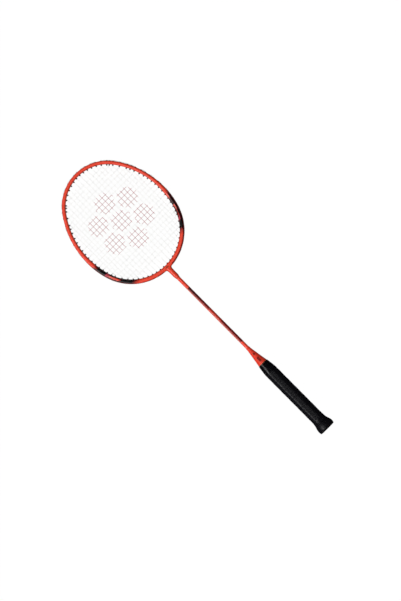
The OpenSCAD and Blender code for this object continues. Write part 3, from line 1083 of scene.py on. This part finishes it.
def mainPair(i, side):
    # down one main string, round the throat, and up the next
    lift = strings["lift"]
    path = wayIn(topHole(i), 0 if i == 1 else topHole(i - 1), side, lift) + mainRun(i, side)
    path += slantOut(side) if i == 1 else wayOut(lowHole(i), 0, side, lift)
    if i > 1:
        path += groove(lowHole(i), lowHole(i + 1), side, lift)
    path += wayIn(lowHole(i + 1), math.pi, side, lift) + mainRun(i + 1, side)[::-1]
    path += wayOut(topHole(i + 1), math.pi / 2, side, lift)
    return path + groove(topHole(i + 1), topHole(i + 2), side, lift)


def hitch(point, along, radius):
    # two turns round the string that runs along through the point
    along = Vector(along)
    across = Vector((-along.y, along.x, 0))
    path = []
    for k in range(12):
        turned = direction(math.radians(60 * k))
        path.append(Vector(point) + along * 0.8 * mm * k / 6
                    + radius * (turned.x * Vector((0, 0, 1)) + turned.y * across))
    return path


def mainTail(side):
    lift, last, tie = strings["lift"], strings["mains"], crossHole(19)
    path = wayIn(topHole(last), 0, side, lift) + mainRun(last, side) + wayOut(lowHole(last), 0, side, lift)
    path += groove(lowHole(last), tie, side, lift) + wayIn(tie, math.pi, side, lift)
    knot = hoopPoint(tie, -strings["mouth"] - 1.2 * mm)
    return path + hitch((crossX(19), side * knot.y, -lift), (0, -side, 0), 0.8 * mm)


def mainHalf(side):
    path = []
    for i in range(1, strings["mains"] - 1, 2):
        path += mainPair(i, side)
    return path + mainTail(side)


def crossMid(j, side):
    odd = 1 if side < 0 else 0
    return [Vector((crossX(j), side * mainY(i), -strings["weave"] * overUnder(i + j + odd)))
            for i in reversed(mainRange) if meets(i, j)]


def crossRun(j):
    side, hole, lift = (1 if j % 2 == 0 else -1), crossHole(j), -strings["lift"]
    path = wayIn(hole, crossHole(max(j - 1, 1)) - 0.0002, side, lift)
    path += crossMid(j, side) + crossMid(j, -side)[::-1]
    path += wayOut(hole, crossHole(min(j + 1, strings["crosses"])) + 0.0002, -side, lift)
    if j < strings["crosses"]:
        path += groove(hole, crossHole(j + 1), -side, lift)
    return path


def crossPath():
    lift, tie = strings["lift"], crossHole(2)
    knot = hoopPoint(tie, -strings["mouth"] - 1.2 * mm)
    path = hitch((crossX(2), -knot.y, -lift), (0, 1, 0), 0.8 * mm)[::-1]
    path += wayOut(tie, 0, -1, lift)
    path += [at(hoopPoint(tie - math.radians(2.4), strings["runOut"]), -1, -lift),
             at(hoopPoint(crossHole(1) + math.radians(3), strings["runOut"]), -1, -lift)]
    for j in crossRange:
        path += crossRun(j)
    last = lowHole(7)
    knot = hoopPoint(last, -strings["mouth"] - 1.2 * mm)
    path += groove(crossHole(strings["crosses"]), last, 1, -lift) + wayIn(last, 0, 1, -lift)
    return path + hitch((knot.x, mainY(7), lift), (1, 0, 0), -0.8 * mm)


def eased(path):
    # the same route with its weave rounded: three points for each one
    made = []
    for k, point in enumerate(path[:-1]):
        before, after, beyond = path[max(k - 1, 0)], path[k + 1], path[min(k + 2, len(path) - 1)]
        reach = (after - point).length
        start = (after - before).normalized() * reach
        end = (beyond - point).normalized() * reach
        for share in (0, 1 / 3, 2 / 3):
            s2, s3 = share ** 2, share ** 3
            made.append(point * (2 * s3 - 3 * s2 + 1) + start * (s3 - 2 * s2 + share) * 0.8
                        + after * (3 * s2 - 2 * s3) + end * (s3 - s2) * 0.8)
    return made + [path[-1]]


def makeString(name, path):
    line = bpy.data.curves.new(name, "CURVE")
    line.dimensions = "3D"
    line.bevel_depth = strings["diameter"] / 2
    line.bevel_resolution = 2
    line.use_fill_caps = True
    line.twist_mode = "MINIMUM"
    spline = line.splines.new("POLY")
    points = eased(path)
    spline.points.add(len(points) - 1)
    spline.points.foreach_set("co", [c for p in points for c in (*p, 1.0)])
    piece = bpy.data.objects.new(name, line)
    bpy.context.scene.collection.objects.link(piece)
    only(piece)
    bpy.ops.object.convert(target="MESH")
    piece = bpy.context.object
    smooth(piece, 70)
    return piece


stencil = dict(
    centre=Vector((550 * mm, 0)),      # the middle of the printed ornament
    pitch=45 * mm, cell=19 * mm,       # seven six-sided cells, one in the middle of six
)


def stencilMask(tree, x, y):
    # how far from the middle of each cell, measured square to its flats; the nearest cell counts
    nearest = None
    middles = [Vector((0, 0))] + [stencil["pitch"] * direction(math.radians(60 * k)) for k in range(6)]
    for middle in middles:
        px = absolute(tree, minus(tree, x, stencil["centre"].x + middle.x))
        py = absolute(tree, minus(tree, y, stencil["centre"].y + middle.y))
        slant = plus(tree, times(tree, px, 0.5), times(tree, py, 0.866))
        far = calc(tree, "MAXIMUM", px, slant)
        nearest = far if nearest is None else calc(tree, "MINIMUM", nearest, far)
    return span(tree, nearest, stencil["cell"] + 0.5 * mm, stencil["cell"] - 0.5 * mm)


def stringMaterial():
    material, tree, shader = newMaterial("stringFilament", Coat_Weight=0.3)
    place, x, y, z = objectPlace(tree)
    ply = calc(tree, "SINE", times(tree, plus(tree, plus(tree, x, y), z), 9000.0))
    printed = stencilMask(tree, x, y)
    patchy = span(tree, noise(tree, place, 900, 2), 0.3, 0.6, 0.88, 1.0, "LINEAR")
    colour = blend(tree, times(tree, printed, patchy), colours["string"], colours["ink"])
    soiled = times(tree, span(tree, noise(tree, place, 60, 3), 0.45, 0.75), 0.1)
    tree.links.new(blend(tree, soiled, colour, rgb(205, 200, 190)), shader.inputs["Base Color"])
    tree.links.new(span(tree, printed, 0, 1, 0.32, 0.6), shader.inputs["Roughness"])
    addBump(tree, shader, ply, 0.015 * mm)
    return material


filament = stringMaterial()
mainPiece = makeString("mainString", mainHalf(-1)[::-1] + mainHalf(1))
finishPiece(mainPiece, filament, "string", "main_string")
crossPiece = makeString("crossString", crossPath())
finishPiece(crossPiece, filament, "string", "cross_string")
print("strings woven")


grommet = dict(
    bore=0.95 * mm, barrel=1.4 * mm, head=1.6 * mm, headLength=1.35 * mm, sides=16,
    groups=dict(crown=(0, 48), upper=(48, 70), side=(70, 114), lower=(114, 140), throat=(140, 181)),
)


def makeGrommet(name, x0, x1):
    bore, barrel, head = grommet["bore"], grommet["barrel"], grommet["head"]
    shelf = x1 - grommet["headLength"]
    profile = [(x0 + 0.15 * mm, bore), (x0, bore + 0.12 * mm), (x0 + 0.12 * mm, barrel - 0.08 * mm),
               (x0 + 0.4 * mm, barrel), (shelf, barrel), (shelf, head), (x1 - 0.3 * mm, head),
               (x1, head - 0.3 * mm), (x1 - 0.05 * mm, bore + 0.15 * mm), (x1 - 0.3 * mm, bore)]
    return lathe(name, profile, grommet["sides"])


def copyTo(model, name, place):
    piece = model.copy()
    piece.data = model.data.copy()
    piece.name = name
    bpy.context.scene.collection.objects.link(piece)
    piece.data.transform(place)
    return piece


def atHole(angle, side):
    point = hoopPoint(angle, 0)
    return Matrix.Translation((point.x, side * point.y, 0)) @ Matrix.Rotation(side * angle, 4, "Z")


def atSlant(side):
    turn = math.atan2(side * lowRun.y, lowRun.x)
    return Matrix.Translation((lowMouth.x, side * lowMouth.y, 0)) @ Matrix.Rotation(turn, 4, "Z")


def nylonMaterial():
    material, tree, shader = newMaterial("grommetNylon")
    grainOver(tree, shader, rgb(58, 12, 7), rgb(92, 30, 20), 3200.0, 0.38, 0.02 * mm)
    return material


def makeGrommets():
    nylon = nylonMaterial()
    plain = makeGrommet("plainGrommet", -strings["mouth"], strings["headTop"])
    slant = makeGrommet("slantGrommet", 0, lowRun.length)
    for group, (low, high) in grommet["groups"].items():
        sets = [("", (-1, 1))] if group in ("crown", "throat") else [("_left", (1,)), ("_right", (-1,))]
        for ending, sides in sets:
            parts = [copyTo(plain, "one", atHole(angle, side)) for side in sides for angle in holes
                     if low <= math.degrees(angle) < high]
            if group == "throat":
                parts += [copyTo(slant, "one", atSlant(side)) for side in sides]
            piece = joinUp(f"{group}Grommets{ending}", parts)
            smooth(piece, 40)
            finishPiece(piece, nylon, "grommet", f"{group}_grommets{ending}")
    for model in (plain, slant):
        bpy.data.objects.remove(model)


makeGrommets()
print("grommets set")


# the wooden core stays as drawn, under the wrap
def coreWood():
    material, tree, shader = newMaterial("coreWood")
    place, x, y, z = objectPlace(tree)
    stretch = tree.nodes.new("ShaderNodeMapping")
    tree.links.new(place, stretch.inputs["Vector"])
    stretch.inputs["Scale"].default_value = (0.08, 1, 1)
    grain = noise(tree, stretch.outputs[0], 900, 4, 0.6)
    tree.links.new(blend(tree, span(tree, grain, 0.3, 0.7), rgb(172, 130, 88), colours["wood"]),
                   shader.inputs["Base Color"])
    tree.links.new(span(tree, grain, 0.2, 0.8, 0.5, 0.7), shader.inputs["Roughness"])
    addBump(tree, shader, grain, 0.05 * mm)
    return material


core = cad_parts["handle_core"]
core.data.materials.clear()
core.data.materials.append(coreWood())


studio = dict(
    floorSize=12.0, floorSlope=1.02, floorDrop=17.25 * mm,
    floorGlow=1.0,
    skyDirection=(0.0, 0.60, 0.80), skyLow=0.12, skyHigh=0.85,     # what lights the paint
    bankDirection=(0.0, 0.60, 0.80), bankLow=0.006, bankHigh=2.7,  # what the gloss sees: one bank of light
    key=dict(place=(0.25, 1.7, 1.3), size=1.2, power=16),
    top=dict(place=(0.5, 0.5, 2.6), size=2.6, power=20),
)


def makeFloor():
    deselectAll()
    bpy.ops.mesh.primitive_grid_add(x_subdivisions=8, y_subdivisions=8, size=studio["floorSize"])
    floor = bpy.context.object
    floor.name = "floor"
    slope = math.tan(math.radians(studio["floorSlope"]))
    for vertex in floor.data.vertices:
        vertex.co.z = -studio["floorDrop"] + slope * vertex.co.x
    material, tree, shader = newMaterial("paleFloor", Specular_IOR_Level=0.0, Roughness=0.9,
                                         Base_Color=(0.01, 0.01, 0.01, 1),
                                         Emission_Strength=studio["floorGlow"])
    place, x, y, z = objectPlace(tree)
    paper = noise(tree, place, 600, 3)
    glow = blend(tree, paper, rgb(254, 254, 254), rgb(255, 255, 255))
    tree.links.new(glow, shader.inputs["Emission Color"])
    floor.data.materials.append(material)
    floor.visible_glossy = False
    floor.visible_diffuse = False


def areaLight(name, place, size, power):
    light = bpy.data.lights.new(name, "AREA")
    light.shape = "DISK"
    light.size = size
    light.energy = power
    lamp = bpy.data.objects.new(name, light)
    bpy.context.scene.collection.objects.link(lamp)
    lamp.location = place
    toward = Vector((0.4, 0, 0)) - lamp.location
    lamp.rotation_euler = toward.to_track_quat("-Z", "Y").to_euler()
    lamp.visible_glossy = False


def makeWorld():
    world = bpy.data.worlds.new("studio")
    bpy.context.scene.world = world
    world.use_nodes = True
    tree = world.node_tree
    background = tree.nodes["Background"]
    background.inputs["Color"].default_value = (1, 1, 1, 1)
    where = tree.nodes.new("ShaderNodeTexCoord").outputs["Generated"]
    bright = []
    for part, start, end in (("sky", -0.3, 0.95), ("bank", 0.925, 0.985)):
        facing = tree.nodes.new("ShaderNodeVectorMath")
        facing.operation = "DOT_PRODUCT"
        tree.links.new(where, facing.inputs[0])
        facing.inputs[1].default_value = studio[part + "Direction"]
        bright.append(span(tree, facing.outputs["Value"], start, end,
                           studio[part + "Low"], studio[part + "High"]))
    glossy = tree.nodes.new("ShaderNodeLightPath").outputs["Is Glossy Ray"]
    tree.links.new(span(tree, glossy, 0, 1, bright[0], bright[1], "LINEAR"), background.inputs["Strength"])


makeFloor()
for lampName in ("key", "top"):
    areaLight(lampName, **studio[lampName])
makeWorld()
bpy.context.scene.view_settings.view_transform = "Standard"
print("studio lit")
